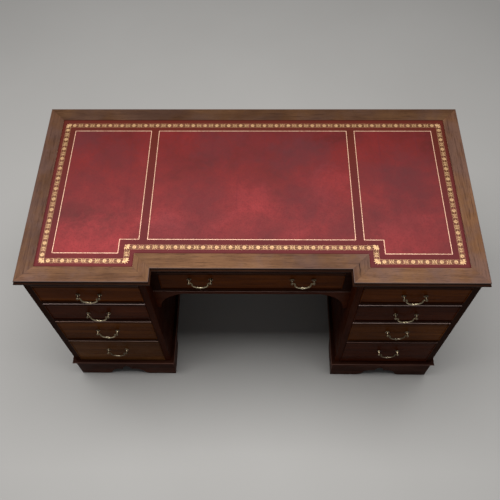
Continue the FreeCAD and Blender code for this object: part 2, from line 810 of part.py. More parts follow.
def bail(label, x, y, z):
    """Bail that hangs between the posts: necks bend down from its pins to a bow with a beaded middle."""
    part = body(label)
    shoulder = "(handle_pitch / 2 - ball_radius - shoulder_gap)"
    leg = f"({shoulder} - bail_neck_bend)"
    leg_foot = "(bail_neck_bend + bail_leg)"
    fall = f"(bail_drop - {leg_foot})"
    reach = f"({leg} - bail_corner)"
    bow = f"(({reach} ^ 2 + {fall} ^ 2 - bail_corner ^ 2) / (2 * ({fall} - bail_corner)))"
    turn_x = f"({bow} * {reach} / ({bow} - bail_corner))"
    turn_z = f"({bow} - bail_drop + {bow} * ({fall} - {bow}) / ({bow} - bail_corner))"
    spine = [
        (f"-{shoulder}", "0", "bail_neck_bend", "cw"),
        (f"-{leg}", "-bail_neck_bend"),
        (f"-{leg}", f"-{leg_foot}", "bail_corner", "ccw"),
        (f"-{turn_x}", turn_z, bow, "ccw"),
        (turn_x, turn_z, "bail_corner", "ccw"),
        (leg, f"-{leg_foot}"),
        (leg, "-bail_neck_bend", "bail_neck_bend", "cw"),
        (shoulder, "0"),
    ]
    section = sketch_on(part, "YZ_Plane", lift=f"-{shoulder}")
    circle(section, "0", "0", "bail_radius")
    rod = part.newObject("PartDesign::AdditivePipe", f"{label}_rod")
    rod.Profile = section
    rod.Spine = (sketch_on(part, "XZ_Plane", spine, closed=False), [])
    doc.recompute()
    pin_section = sketch_on(part, "YZ_Plane", lift=shoulder)
    circle(pin_section, "0", "0", "pin_radius")
    pin_length = "ball_radius + shoulder_gap + pin_radius - pin_end_gap"
    mirror(part, pad(part, pin_section, pin_length))
    doc.recompute()
    ring = [
        ("-bead_half_length", "0"),
        ("-bead_half_length", "bead_ring_edge"),
        ("-bead_ring_half", "bead_ring_base", "bead_ring_round", "cw"),
        ("bead_ring_half", "bead_ring_base"),
        ("bead_half_length", "bead_ring_edge"),
        ("bead_half_length", "0"),
    ]
    bead = sketch_on(part, "XZ_Plane", ring, rise="-bail_drop")
    part.Tip = revolve(part, bead, (bead, ["H_Axis"]))
    place(part, x, f"{y} - handle_stand", z)
    node(label, part)


def build_drawer(name, x, face, floor, wide, high, deep, tails, level, handles):
    """One drawer at its closed place. Handles, all at one level, are (name, offset from the middle)."""
    posts = [(f"{offset} + {way} * handle_pitch / 2", level) for _, offset in handles for way in (-1, 1)]
    front = drawer_front(name, wide, high, tails, posts)
    bead = cockbead(name, wide, high)
    for piece in (front, bead):
        place(piece, x, face, floor)
    node(f"{name}_front", front, bead)
    node(f"{name}_box", *drawer_box(name, x, face, floor, wide, high, deep, tails))
    mounts = []
    for handle, offset in handles:
        mounts += handle_mount(handle, f"{x} + {offset}", face, f"{floor} + {level}")
        bail(f"{handle}_bail", f"{x} + {offset}", face, f"{floor} + {level}")
    node(f"{name}_handle_posts", *mounts)


def build_drawers():
    """All nine drawers. Returns the stops that they close against."""
    stops = []
    deep = "(carcass_depth - back_thick - drawer_back_gap)"
    for side, hand in HANDS.items():
        x = f"({hand} * {PEDESTAL_MIDDLE})"
        for number, floor, high, level, tails in ROWS:
            name = f"{side}_drawer_{number}"
            build_drawer(name, x, FRONT, floor, OPENING, high, deep, tails, level, [(name, "0")])
            stops += drawer_stops(name, x, FRONT, floor)
    centre_deep = "(carcass_depth - recess_depth - frieze_back_thick - drawer_back_gap)"
    handles = [(f"centre_drawer_{side}", f"{hand} * centre_handle_offset") for side, hand in HANDS.items()]
    build_drawer("centre_drawer", "0", CENTRE_FRONT, FLOOR_1, CENTRE_OPENING, "row_1_height", centre_deep,
                 ROWS[0][-1], "centre_handle", handles)
    stops += drawer_stops("centre_drawer", "0", CENTRE_FRONT, FLOOR_1)
    return stops


def write_parts():
    """Check that every object and every sub-part is sound, then write one file per sub-part."""
    doc.recompute()
    failed = [thing.Label for thing in doc.Objects if {"Invalid", "Error"} & set(thing.State)]
    if failed:
        raise RuntimeError(f"failed objects: {failed}")
    for label, thing in nodes.items():
        if thing.Shape.isNull() or not thing.Shape.isValid() or not thing.Shape.Solids:
            raise RuntimeError(f"bad shape: {label}")
    os.makedirs("parts", exist_ok=True)
    for label, thing in nodes.items():
        thing.Shape.exportStep(f"parts/{label}.step")
        print(label, len(thing.Shape.Solids), round(thing.Shape.Volume / 1000, 1), "cm3")


build_top()
for side_name in HANDS:
    build_pedestal(side_name)
    build_plinth(side_name)
build_frieze()
node("pedestal_bottoms", *[pedestal_bottom(side_name) for side_name in HANDS])
node("drawer_runners", *pedestal_runners("left"), *pedestal_runners("right"), *frieze_runners())
build_top_blocks()
node("drawer_stops", *build_drawers())
write_parts()
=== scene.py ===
import math

import bmesh
import bpy
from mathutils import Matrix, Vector, noise


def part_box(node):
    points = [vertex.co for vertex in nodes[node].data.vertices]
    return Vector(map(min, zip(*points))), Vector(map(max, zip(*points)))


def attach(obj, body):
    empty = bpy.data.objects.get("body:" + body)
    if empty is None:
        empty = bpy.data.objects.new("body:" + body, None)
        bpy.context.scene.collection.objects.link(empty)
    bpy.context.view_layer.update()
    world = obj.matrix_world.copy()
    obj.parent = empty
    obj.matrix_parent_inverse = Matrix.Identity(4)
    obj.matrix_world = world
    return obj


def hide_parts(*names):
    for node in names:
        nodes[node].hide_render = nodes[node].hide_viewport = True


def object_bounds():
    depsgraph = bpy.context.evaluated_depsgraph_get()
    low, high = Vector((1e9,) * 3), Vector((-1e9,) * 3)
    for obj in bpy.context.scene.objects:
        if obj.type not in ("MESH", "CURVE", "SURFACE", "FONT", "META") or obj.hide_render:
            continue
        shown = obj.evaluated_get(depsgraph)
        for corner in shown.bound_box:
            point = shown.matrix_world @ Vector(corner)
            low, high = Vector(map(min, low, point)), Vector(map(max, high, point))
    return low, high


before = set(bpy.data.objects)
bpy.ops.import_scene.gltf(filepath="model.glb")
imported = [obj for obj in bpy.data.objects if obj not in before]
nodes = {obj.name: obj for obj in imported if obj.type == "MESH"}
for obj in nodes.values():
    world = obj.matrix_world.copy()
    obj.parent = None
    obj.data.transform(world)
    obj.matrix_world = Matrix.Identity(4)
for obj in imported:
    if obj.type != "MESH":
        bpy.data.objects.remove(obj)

cad_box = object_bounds()
scene = bpy.context.scene

SIDES = "left", "right"

# Plan of the desk's top and its leather, in metres, read off the CAD solids.
# The bails stand out furthest at the front, so the top's front edge is its back edge mirrored.
DESK_TOP = cad_box[1].z
DESK_HALF = cad_box[1].x
DESK_BACK = cad_box[1].y
DESK_FRONT = -DESK_BACK
leather_low, leather_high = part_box("writing_leather")
LEATHER_TOP = leather_high.z
LEATHER_HALF = leather_high.x
LEATHER_BACK = leather_high.y
LEATHER_FRONT = leather_low.y

# The leather's front is stepped back over the kneehole. STEP_X is half the width of that stretch, and STEP_Y
# is its front. Corners within TOUCH of a line are on it.
TOUCH = 0.00001
leather_solid = nodes["writing_leather"]
leather_corners = [leather_solid.matrix_world @ vertex.co for vertex in leather_solid.data.vertices]
STEP_X = min(abs(corner.x) for corner in leather_corners if corner.y < LEATHER_FRONT + TOUCH)
STEP_Y = max(corner.y for corner in leather_corners if abs(abs(corner.x) - STEP_X) < TOUCH)
RECESS = STEP_Y - LEATHER_FRONT
BORDER = DESK_BACK - LEATHER_BACK


# Material graphs

class Graph:
    """A material whose nodes are added by kind, with inputs given as values or as other nodes' sockets."""

    def __init__(self, name, **constants):
        self.material = bpy.data.materials.new(name)
        self.material.use_nodes = True
        self.tree = self.material.node_tree
        self.shader = self.tree.nodes["Principled BSDF"]
        for socket, value in constants.items():
            self.shader.inputs[socket.replace("_", " ")].default_value = value

    def add(self, kind, inputs=None, **settings):
        node = self.tree.nodes.new(kind)
        for name, value in settings.items():
            setattr(node, name, value)
        for name, value in (inputs or {}).items():
            self.feed(node.inputs[name], value)
        return node

    def feed(self, socket, value):
        if isinstance(value, bpy.types.NodeSocket):
            self.tree.links.new(value, socket)
        else:
            socket.default_value = value

    def place(self):
        """Where a point is on the object, in metres."""
        return self.add("ShaderNodeTexCoord").outputs["Object"]

    def facing(self):
        """The way that a face looks, as three sockets."""
        return self.split(self.add("ShaderNodeNewGeometry").outputs["Normal"])

    def split(self, vector):
        return self.add("ShaderNodeSeparateXYZ", {0: vector}).outputs

    def join(self, x, y, z):
        return self.add("ShaderNodeCombineXYZ", {0: x, 1: y, 2: z}).outputs[0]

    def math(self, operation, a, b=0.0, c=0.0):
        return self.add("ShaderNodeMath", {0: a, 1: b, 2: c}, operation=operation).outputs[0]

    def vector_math(self, operation, a, b):
        return self.add("ShaderNodeVectorMath", {0: a, 1: b}, operation=operation).outputs

    def noise(self, vector, scale, detail=3.0, rough=0.5, distortion=0.0):
        inputs = {
            "Vector": vector, "Scale": scale, "Detail": detail, "Roughness": rough, "Distortion": distortion,
        }
        return self.add("ShaderNodeTexNoise", inputs).outputs["Fac"]

    def stretched(self, vector, scales, detail=3.0, rough=0.5, distortion=0.0):
        """Noise with a scale of its own along each coordinate."""
        scaled = self.vector_math("MULTIPLY", vector, scales)[0]
        return self.noise(scaled, 1.0, detail, rough, distortion)

    def fit(self, value, low, high, to_low=0.0, to_high=1.0):
        """A smooth step from to_low, where the value is low, to to_high, where it is high."""
        inputs = {"Value": value, "From Min": low, "From Max": high, "To Min": to_low, "To Max": to_high}
        return self.add("ShaderNodeMapRange", inputs, interpolation_type="SMOOTHSTEP").outputs[0]

    def mix(self, factor, a, b, blend="MIX"):
        node = self.add("ShaderNodeMix", data_type="RGBA", blend_type=blend)
        for socket, value in zip((node.inputs[0], node.inputs[6], node.inputs[7]), (factor, a, b)):
            self.feed(socket, value)
        return node.outputs[2]

    def ramp(self, value, *stops):
        node = self.add("ShaderNodeValToRGB", {0: value})
        elements = node.color_ramp.elements
        while len(elements) < len(stops):
            elements.new(0.5)
        for element, (position, colour) in zip(elements, stops):
            element.position = position
            element.color = colour
        return node.outputs[0]

    def bump(self, height, strength, distance):
        inputs = {"Height": height, "Strength": strength, "Distance": distance}
        self.feed(self.shader.inputs["Normal"], self.add("ShaderNodeBump", inputs).outputs[0])

    def finish(self, colour, rough):
        self.feed(self.shader.inputs["Base Color"], colour)
        self.feed(self.shader.inputs["Roughness"], rough)
        return self.material


def rgb(red, green, blue):
    return (red, green, blue, 1.0)


def dimmed(tone, share):
    """A tone with a share of its light."""
    return rgb(*(share * part for part in tone[:3]))


def greyed(tone):
    """A faded tone where the polish has perished and looks grey."""
    return rgb(0.95 * tone[0], 1.18 * tone[1], 2.1 * tone[2])


def shades(red, green, blue):
    """The dark, middle and light of a wood's figure, from its middle tone."""
    dark = rgb(0.38 * red, 0.34 * green, 0.4 * blue)
    light = rgb(1.7 * red, 1.9 * green, 2.0 * blue)
    return dark, rgb(red, green, blue), light


# Grain, mitres and a split of the woods.
# A line is full within the first of its two distances, and gone at the second.

HAIRLINE = 0.0004, 0.0011
MITRE_OVERRUN = 0.0007
SPLIT_X = 0.304
SPLIT_Y = -0.277
SPLIT_WANDER = 0.006
SPLIT_WIDTH = 0.0005, 0.0016
SPLIT_REACH = 0.014, 0.024
SPLIT_STRENGTH = 3.8


def grain_along(graph, axis):
    """Object coordinates with the first one along the grain."""
    x, y, z = graph.split(graph.place())
    order = {"x": (x, y, z), "y": (y, x, z), "z": (z, x, y)}[axis]
    return graph.join(*order)


def grain_by_face(graph):
    """Level grain that turns with the board: along X on faces to the front or back, along Y on the flanks."""
    flank = graph.math("GREATER_THAN", graph.math("ABSOLUTE", graph.facing()[0]), 0.6)
    return graph.mix(flank, grain_along(graph, "x"), grain_along(graph, "y"))


def front_mitres(graph):
    """On the front border, how far out from the step's edge, past the wing's mitre and past the middle's."""
    x, y, _ = graph.split(graph.place())
    out = graph.math("SUBTRACT", graph.math("ABSOLUTE", x), STEP_X - BORDER)
    past_wing = graph.math("SUBTRACT", out, graph.math("SUBTRACT", y, DESK_FRONT))
    return out, past_wing, graph.math("ADD", past_wing, RECESS)


def grain_of_front_border(graph):
    """Grain along X, and along Y on the two short returns between the mitres."""
    _, past_wing, past_middle = front_mitres(graph)
    on_return = graph.math(
        "MULTIPLY", graph.math("LESS_THAN", past_wing, 0.0), graph.math("GREATER_THAN", past_middle, 0.0))
    return graph.mix(on_return, grain_along(graph, "x"), grain_along(graph, "y"))


def lines_of_front_border(graph):
    """The mitre lines of the two short returns, and a wavering split in the right one."""
    out, past_wing, past_middle = front_mitres(graph)
    near = graph.math("MINIMUM", graph.math("ABSOLUTE", past_wing), graph.math("ABSOLUTE", past_middle))
    off_middle = graph.math("ABSOLUTE", graph.math("SUBTRACT", out, BORDER / 2))
    on_border = graph.math("LESS_THAN", off_middle, BORDER / 2 + MITRE_OVERRUN)
    mitre = graph.math("MULTIPLY", graph.fit(near, *HAIRLINE, 1.0, 0.0), on_border)
    x, y, _ = graph.split(graph.place())
    straight = graph.math("SUBTRACT", x, SPLIT_X + SPLIT_WANDER / 2)
    wander = graph.noise(graph.place(), 70.0, 2.0)
    off_split = graph.math("ABSOLUTE", graph.math("MULTIPLY_ADD", wander, SPLIT_WANDER, straight))
    along_split = graph.math("ABSOLUTE", graph.math("SUBTRACT", y, SPLIT_Y))
    split = graph.math(
        "MULTIPLY", graph.fit(off_split, *SPLIT_WIDTH, SPLIT_STRENGTH, 0.0),
        graph.fit(along_split, *SPLIT_REACH, 1.0, 0.0))
    return graph.math("MAXIMUM", mitre, split)


def mitre_of_ends(graph):
    """The mitre lines at the two ends of a back or side border board."""
    x, y, _ = graph.split(graph.place())
    from_side = graph.math("SUBTRACT", DESK_HALF, graph.math("ABSOLUTE", x))
    from_end = graph.math("SUBTRACT", DESK_BACK, graph.math("ABSOLUTE", y))
    near = graph.math("ABSOLUTE", graph.math("SUBTRACT", from_side, from_end))
    return graph.fit(near, *HAIRLINE, 1.0, 0.0)


# Painted light on the woods, with some real wear: painted highlights where light catches a bead or an arris,
# and painted shade where shade falls.
# Bands of height are from the top or the foot of a drawer front, or from the desk's top.

# Pale colour of painted highlights on up-facing beads, arrises and noses, partly rubbed polish
RUB_AND_HIGHLIGHT = rgb(0.50, 0.37, 0.335)
BEAD_HIGHLIGHT = -0.0050, -0.0038
BEAD_SHADOW_FOOT = -0.0165, -0.0105
BEAD_SHADOW_CROWN = -0.0046, -0.0040
DRAWER_FOOT_SHADE = 0.0042, 0.0070
ARRIS_HIGHLIGHT = -0.0040, -0.0030
QUIRK_SHADE_FOOT = -0.0085, -0.0078
QUIRK_SHADE_CROWN = -0.0066, -0.0060


def height_step(graph, level, band, to_low=0.0, to_high=1.0):
    """A smooth step up through a band of heights, given from a level."""
    height = graph.split(graph.place())[2]
    return graph.fit(height, level + band[0], level + band[1], to_low, to_high)


def drawer_highlight_and_shade(floor, top, share):
    """Painted light on a drawer front: a share of painted highlight, partly rubbed polish, on its top bead,
    with painted shadow under that and painted shade at the foot.
    """
    def wear_and_light(graph):
        # Painted highlight on the upward face of the top bead; below it, painted shadow under the bead and
        # painted shade at the foot
        bead = height_step(graph, top, BEAD_HIGHLIGHT, 0.0, share)
        rub_and_highlight = graph.math("MULTIPLY", bead, graph.fit(graph.facing()[2], 0.35, 0.85))
        bead_shadow = graph.math(
            "MULTIPLY", height_step(graph, top, BEAD_SHADOW_FOOT),
            height_step(graph, top, BEAD_SHADOW_CROWN, 0.8, 0.0))
        foot = height_step(graph, floor, DRAWER_FOOT_SHADE, 0.85, 0.0)
        return rub_and_highlight, graph.math("MAXIMUM", bead_shadow, foot)
    return wear_and_light


def edge_highlight_and_shade(graph):
    """Painted light on the top's edge: a painted highlight, partly rubbed polish, on its upper arris, and
    painted shade in the quirk and a little below it.
    """
    up = graph.facing()[2]
    arris = graph.math("MULTIPLY", graph.fit(up, 0.25, 0.55), graph.fit(up, 0.93, 0.99, 0.17, 0.0))
    rub_and_highlight = graph.math("MULTIPLY", arris, height_step(graph, DESK_TOP, ARRIS_HIGHLIGHT))
    shade_and_grime = graph.math(
        "MULTIPLY", height_step(graph, DESK_TOP, QUIRK_SHADE_FOOT, 0.2, 0.85),
        height_step(graph, DESK_TOP, QUIRK_SHADE_CROWN, 1.0, 0.0))
    return rub_and_highlight, shade_and_grime


def apron_highlight(graph):
    """Painted highlight on the apron: its upward faces and upper arrises are paler, partly rubbed polish."""
    return graph.fit(graph.facing()[2], 0.25, 0.8, 0.0, 0.2), 0.0


def plinth_shade_and_highlight(graph):
    """Painted light on the plinth: painted shade on what lies level, and a faint painted highlight along the
    nose of the moulding.
    """
    up = graph.facing()[2]
    nose_highlight = graph.math("MULTIPLY", graph.fit(up, 0.15, 0.35), graph.fit(up, 0.5, 0.8, 0.12, 0.0))
    return nose_highlight, graph.fit(up, 0.5, 0.9, 0.0, 0.75)


def outer_edge_darkening(graph):
    """Darkening of an outer side: its front edge is darker."""
    return 0.0, graph.fit(graph.facing()[1], -0.8, -0.5, 0.86, 0.0)


def inner_side_shade(graph):
    """Painted shade of an inner side: a darker front edge, and painted shade, thicker, on its face to the
    kneehole, where shade falls.
    """
    out, front, _ = graph.facing()
    side = graph.math("SIGN", graph.split(graph.place())[0])
    kneehole_shade = graph.fit(graph.math("MULTIPLY", out, side), -0.8, -0.5, 0.5, 0.0)
    return 0.0, graph.math("MAXIMUM", kneehole_shade, graph.fit(front, -0.8, -0.5, 0.36, 0.0))


# Woods

FIGURE_STOPS = 0.30, 0.47, 0.66
MIDDLE_REACH = 0.12, 0.46
BACK_REACH = -0.15, 0.32


def sun_bleached(graph, figure, faded):
    """Colour of a faded board: greyed where polish has perished, browner at the desk's middle, and darker
    towards the back with painted shade.
    """
    bleached = graph.ramp(figure, *zip(FIGURE_STOPS, faded))
    x, y, _ = graph.split(graph.place())
    to_middle = graph.fit(graph.math("ABSOLUTE", x), *MIDDLE_REACH, 1.0, 0.0)
    # Painted shade: darker towards the back, where the light falls off
    back_shade = graph.fit(y, *BACK_REACH, 0.0, 0.30)
    perished = graph.math("MULTIPLY_ADD", to_middle, -0.10, graph.noise(graph.place(), 6.0, 5.0, 0.65))
    bleached = graph.mix(graph.fit(perished, 0.36, 0.58, 0.0, 0.7), bleached, greyed(faded[1]))
    return graph.mix(graph.math("MULTIPLY_ADD", to_middle, 0.16, back_shade), bleached, faded[0])


def mahogany(name, grain, tones, rough, gloss, seed, faded=None, wear_and_light=None, line=None):
    """Polished mahogany: ribbon figure, streaks and pores along the grain, blotches and worn polish.

    grain is an axis, or a function of the graph that gives coordinates with the first one along the grain.
    tones are the dark, middle and light of its figure, and faded are those of faces that lie open to the sun.
    wear_and_light is a function of the graph that gives where painted highlight, partly rubbed polish,
    lightens the wood, and where painted shade, partly grime, darkens it.
    line is a function of the graph that gives where joints and splits show.
    """
    graph = Graph(name, Specular_IOR_Level=gloss)
    along = grain_along(graph, grain) if isinstance(grain, str) else grain(graph)
    board = graph.vector_math("ADD", along, (seed, 0.37 * seed, 0.71 * seed))[0]
    ribbon = graph.stretched(board, (1.6, 24.0, 24.0), 4.0, 0.55, 0.6)
    streak = graph.stretched(board, (5.0, 170.0, 170.0), 3.0, 0.6)
    fleck = graph.stretched(board, (16.0, 330.0, 330.0), 2.0)
    pore = graph.fit(graph.stretched(board, (70.0, 1300.0, 1300.0), 2.0), 0.58, 0.72)
    blotch = graph.noise(board, 4.5, 3.0, 0.55)
    figure = graph.math("MULTIPLY_ADD", streak, 0.38, graph.math("MULTIPLY", ribbon, 0.62))
    dark = tones[0]
    colour = graph.ramp(figure, *zip(FIGURE_STOPS, tones))
    if faded:
        open_to_sun = graph.fit(graph.facing()[2], 0.90, 0.99)
        colour = graph.mix(open_to_sun, colour, sun_bleached(graph, figure, faded))
    colour = graph.mix(graph.fit(fleck, 0.54, 0.68, 0.0, 0.42), colour, dark)
    colour = graph.mix(graph.fit(blotch, 0.36, 0.68, 0.0, 0.45), colour, dark)
    colour = graph.mix(graph.math("MULTIPLY", pore, 0.55), colour, dimmed(dark, 0.35))
    if wear_and_light:
        rub_and_highlight, shade_and_grime = wear_and_light(graph)
        # Painted highlight, partly rubbed polish, then painted shade, partly grime
        colour = graph.mix(rub_and_highlight, colour, RUB_AND_HIGHLIGHT)
        colour = graph.mix(shade_and_grime, colour, dimmed(dark, 0.3))
    if line:
        colour = graph.mix(graph.math("MULTIPLY", line(graph), 0.2), colour, dimmed(dark, 0.25))
    worn = graph.fit(graph.noise(graph.place(), 14.0, 4.0, 0.6), 0.35, 0.7)
    dulled = graph.math("MULTIPLY_ADD", pore, 0.15, rough)
    height = graph.math("MULTIPLY_ADD", pore, -0.7, graph.math("MULTIPLY", streak, 0.5))
    graph.bump(height, 0.16, 0.0004)
    return graph.finish(colour, graph.math("MULTIPLY_ADD", worn, 0.14, dulled))


def plain_wood(name, grain, dark, light, rough):
    """Unpolished lining wood with growth lines, open pores and grey handling marks."""
    graph = Graph(name, Specular_IOR_Level=0.3)
    along = grain_along(graph, grain)
    rings = graph.stretched(along, (1.2, 55.0, 55.0), 4.0, 0.6, 0.8)
    fleck = graph.stretched(along, (40.0, 700.0, 700.0), 2.0)
    colour = graph.ramp(rings, (0.32, dark), (0.68, light))
    colour = graph.mix(graph.fit(fleck, 0.56, 0.70, 0.0, 0.45), colour, dimmed(dark, 0.4))
    grime = graph.fit(graph.noise(graph.place(), 7.0, 4.0, 0.6), 0.45, 0.75, 0.0, 0.35)
    colour = graph.mix(grime, colour, dimmed(dark, 0.45))
    graph.bump(graph.math("MULTIPLY_ADD", fleck, -0.6, rings), 0.25, 0.0005)
    return graph.finish(colour, graph.math("MULTIPLY_ADD", fleck, 0.12, rough))


# Brass

HOLLOW_REACH = 0.006


def aged_brass(name, bright, tarnish, amount, rubbed_below=0.0):
    """Old lacquered brass: worn bright by hands, brown where hands don't reach, finely scratched.

    rubbed_below is the share of the piece's height, from its foot, that fingers keep bright.
    """
    graph = Graph(name, Metallic=1.0)
    cloud = graph.noise(graph.place(), 160.0, 5.0, 0.65)
    hollow = graph.add("ShaderNodeAmbientOcclusion", {"Distance": HOLLOW_REACH}, samples=6).outputs["AO"]
    dull = graph.math("MULTIPLY", graph.fit(cloud, 0.38, 0.66), amount)
    dull = graph.math("MAXIMUM", dull, graph.fit(hollow, 0.25, 0.8, 0.85, 0.0))
    if rubbed_below:
        height = graph.split(graph.add("ShaderNodeTexCoord").outputs["Generated"])[2]
        dull = graph.math("MAXIMUM", dull, graph.fit(height, rubbed_below, 2 * rubbed_below, 0.0, 0.86))
    colour = graph.mix(dull, bright, tarnish)
    scratch = graph.stretched(graph.place(), (300.0, 2400.0, 2400.0), 2.0)
    graph.bump(graph.math("ADD", graph.math("MULTIPLY", cloud, 0.5), scratch), 0.1, 0.0002)
    return graph.finish(colour, graph.math("MULTIPLY_ADD", dull, 0.3, 0.24))


# Leather and gold leaf

# Stained and bright patches of the leather: x, y, reach and strength
DUSKY_PATCHES = (
    (0.15, 0.13, 0.15, 0.55), (-0.12, 0.15, 0.11, 0.40), (-0.15, -0.06, 0.14, 0.38),
    (0.17, -0.05, 0.13, 0.44), (0.47, 0.03, 0.16, 0.55), (-0.43, 0.12, 0.12, 0.35),
    (-0.18, -0.16, 0.15, 0.36), (0.45, -0.10, 0.13, 0.36), (-0.54, 0.20, 0.12, 0.40),
)
BRIGHT_PATCHES = (
    (-0.46, -0.22, 0.17, 0.75), (0.0, -0.06, 0.10, 0.30), (0.24, 0.02, 0.08, 0.20), (0.40, -0.21, 0.10, 0.35),
)
PATCH_WANDER = 0.28
# The leather darkens towards the back: painted shade, where the light falls off
FAR_REACH = -0.16, 0.25
FAR_PAINTED_SHADE = rgb(0.66, 0.47, 0.42)
DUSKY = rgb(0.066, 0.0200, 0.0225)
BRIGHT = rgb(0.262, 0.0330, 0.0345)


def patches(graph, place, spots):
    """How strongly each point lies in one of the patches, whose outlines wander."""
    wander = graph.math("MULTIPLY_ADD", graph.noise(place, 17.0, 6.0, 0.7), PATCH_WANDER, -PATCH_WANDER / 2)
    share = 0.0
    for x, y, reach, strength in spots:
        offset = graph.vector_math("DISTANCE", place, (x, y, LEATHER_TOP))["Value"]
        distance = graph.math("ADD", offset, wander)
        share = graph.math("MAXIMUM", share, graph.fit(distance, 0.1 * reach, reach, strength, 0.0))
    return share


def tooled_leather(name):
    """Antiqued crimson skiver: mottled dye, dusky stains, darker margins, painted shade towards the back,
    faint creases and a fine grain.
    """
    graph = Graph(name, Specular_IOR_Level=0.06)
    place = graph.place()
    cloud = graph.noise(place, 7.0, 5.0, 0.62, 0.5)
    patch = graph.noise(place, 2.6, 2.0, 0.5, 0.3)
    stain = graph.stretched(place, (5.2, 7.5, 1.0), 3.0, 0.55, 0.3)
    speck = graph.noise(place, 55.0, 4.0, 0.7)
    mottle = graph.noise(place, 260.0, 2.0, 0.5)
    drag = graph.stretched(place, (60.0, 2.2, 1.0), 3.0, 0.6)
    dye = graph.math("MULTIPLY_ADD", patch, 0.45, graph.math("MULTIPLY", cloud, 0.55))
    colour = graph.ramp(
        dye, (0.36, rgb(0.090, 0.0212, 0.0208)), (0.46, rgb(0.136, 0.0236, 0.0236)),
        (0.56, rgb(0.172, 0.0252, 0.0252)), (0.68, rgb(0.225, 0.0335, 0.0345)))
    # Painted shade: darker towards the back, where the light falls off
    far_shade = graph.fit(graph.split(place)[1], *FAR_REACH)
    colour = graph.mix(far_shade, colour, FAR_PAINTED_SHADE, "MULTIPLY")
    colour = graph.mix(graph.fit(stain, 0.50, 0.68, 0.0, 0.22), colour, DUSKY)
    colour = graph.mix(patches(graph, place, DUSKY_PATCHES), colour, DUSKY)
    colour = graph.mix(patches(graph, place, BRIGHT_PATCHES), colour, BRIGHT)
    colour = graph.mix(graph.fit(speck, 0.40, 0.72, 0.0, 0.35), colour, rgb(0.11, 0.015, 0.018))
    colour = graph.mix(graph.fit(mottle, 0.46, 0.66, 0.0, 0.30), colour, rgb(0.08, 0.016, 0.018))
    colour = graph.mix(graph.fit(drag, 0.60, 0.80, 0.0, 0.45), colour, rgb(0.08, 0.013, 0.017))
    margin = graph.add("ShaderNodeAttribute", attribute_name="margin").outputs["Fac"]
    margin_dye = graph.mix(far_shade, rgb(0.070, 0.0135, 0.0140), rgb(0.060, 0.0115, 0.0055))
    colour = graph.mix(graph.math("MULTIPLY", margin, 0.72), colour, margin_dye)
    pebble = graph.add("ShaderNodeTexVoronoi", {"Vector": place, "Scale": 620.0}).outputs["Distance"]
    crease = graph.noise(place, 90.0, 5.0, 0.65, 1.2)
    graph.bump(graph.math("MULTIPLY_ADD", pebble, 0.6, crease), 0.32, 0.0005)
    return graph.finish(colour, graph.math("MULTIPLY_ADD", cloud, 0.2, 0.42))


def gold_leaf(name, wear_and_light, light, deep):
    """Rubbed gold leaf, thin enough in places to show the red leather through it."""
    graph = Graph(name, Metallic=0.45)
    rub = graph.noise(graph.place(), 210.0, 4.0, 0.7)
    patch = graph.noise(graph.place(), 16.0, 2.0)
    worn = graph.fit(patch, 0.30, 0.62, 0.25 * wear_and_light, wear_and_light)
    lost = graph.math("MULTIPLY", graph.fit(rub, 0.50, 0.62), worn)
    tone = graph.ramp(rub, (0.3, light), (0.7, deep))
    colour = graph.mix(lost, tone, rgb(0.16, 0.03, 0.025))
    graph.bump(rub, 0.2, 0.0003)
    return graph.finish(colour, graph.math("MULTIPLY_ADD", lost, 0.25, 0.34))


# Tones of the woods: the dark, middle and light of their figure

FADED = rgb(0.062, 0.027, 0.012), rgb(0.122, 0.055, 0.025), rgb(0.188, 0.094, 0.044)
FADED_LEFT = rgb(0.048, 0.021, 0.010), rgb(0.100, 0.046, 0.022), rgb(0.155, 0.079, 0.039)
# The back border's faded tones are darker: painted shade, as the light falls off towards the back
FADED_AND_SHADED_BACK = rgb(0.044, 0.019, 0.008), rgb(0.081, 0.037, 0.016), rgb(0.125, 0.062, 0.028)
RED = shades(0.066, 0.0135, 0.0036)
WARM = shades(0.112, 0.0280, 0.0050)
GOLDEN = shades(0.128, 0.0300, 0.0036)
HONEY = shades(0.110, 0.0250, 0.0026)
AMBER = shades(0.110, 0.0300, 0.0040)
RUSSET = shades(0.108, 0.0380, 0.0105)
FOOT = shades(0.058, 0.0165, 0.0080)
EDGE = shades(0.038, 0.0130, 0.0062)
# Painted shade: the dark tones of the rails and frieze frame, which lie in shade under the beads and the top
SHADED = shades(0.030, 0.0075, 0.0024)
OAK = rgb(0.20, 0.115, 0.052), rgb(0.38, 0.245, 0.125)
PINE = rgb(0.27, 0.16, 0.07), rgb(0.47, 0.32, 0.17)

# Each drawer front's tones, and the share of painted highlight on its top bead
DRAWER_FRONTS = {
    "left_drawer_1": (GOLDEN, 0.5), "left_drawer_2": (RED, 0.8),
    "left_drawer_3": (AMBER, 0.45), "left_drawer_4": (RUSSET, 0.35),
    "right_drawer_1": (HONEY, 0.2), "right_drawer_2": (RED, 0.65),
    "right_drawer_3": (AMBER, 0.65), "right_drawer_4": (RED, 0.2),
    "centre_drawer": (HONEY, 0.3),
}
DULL_BAILS = "left_drawer_4", "right_drawer_3", "right_drawer_4"


# Materials of the CAD nodes

def border_wood(name, grain, **looks):
    """Wood of one of the top's border boards: dark at its moulded edge, with painted highlight and painted
    shade there, faded on top.
    """
    return mahogany(name, grain, EDGE, rough=0.44, gloss=0.07, wear_and_light=edge_highlight_and_shade, **looks)


wood_outer = mahogany("mahogany_outer", "z", WARM, rough=0.28, gloss=0.006, seed=4.1, wear_and_light=outer_edge_darkening)
wood_inner = mahogany("mahogany_inner", "z", RED, rough=0.28, gloss=0.006, seed=4.7, wear_and_light=inner_side_shade)
wood_back = mahogany("mahogany_back", "z", WARM, rough=0.30, gloss=0.020, seed=3.5)
